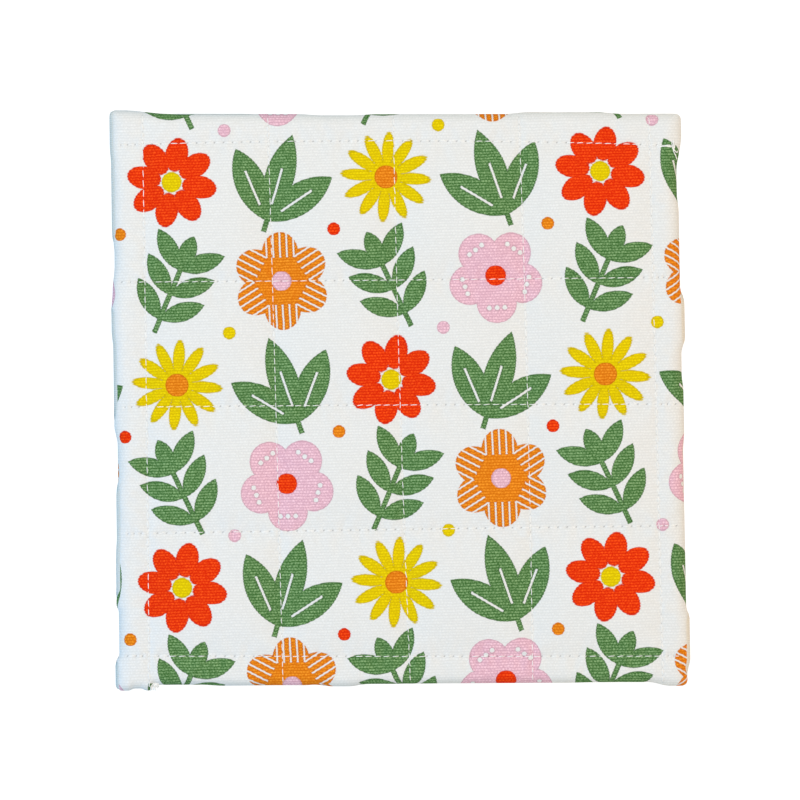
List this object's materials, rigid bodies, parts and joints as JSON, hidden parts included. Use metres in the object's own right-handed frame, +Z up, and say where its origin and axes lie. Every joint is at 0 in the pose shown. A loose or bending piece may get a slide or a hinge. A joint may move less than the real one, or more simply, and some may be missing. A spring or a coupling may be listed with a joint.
{
  "type": "quilted pot holder",
  "caption": "Square padded pot holder of printed cotton canvas with a turned edge, machine quilted in a grid of stitched squares, for holding hot pans or resting them on.",
  "frame": {"origin": "on the surface that the pad lies on, under the middle of its box", "axes": "+Z up out of the printed front, +Y towards the top edge of the print, +X to the right seen from above"},
  "size_m": [0.2042, 0.204, 0.0074],
  "materials": {
    "printed_canvas": "matt ribbed cotton canvas, off-white with a flower and leaf print",
    "backing_cotton": "matt plain off-white cotton",
    "white_thread": "white twisted sewing thread"
  },
  "bodies": {
    "root": {"quilted_pad": "printed_canvas"}
  },
  "joints": []
}
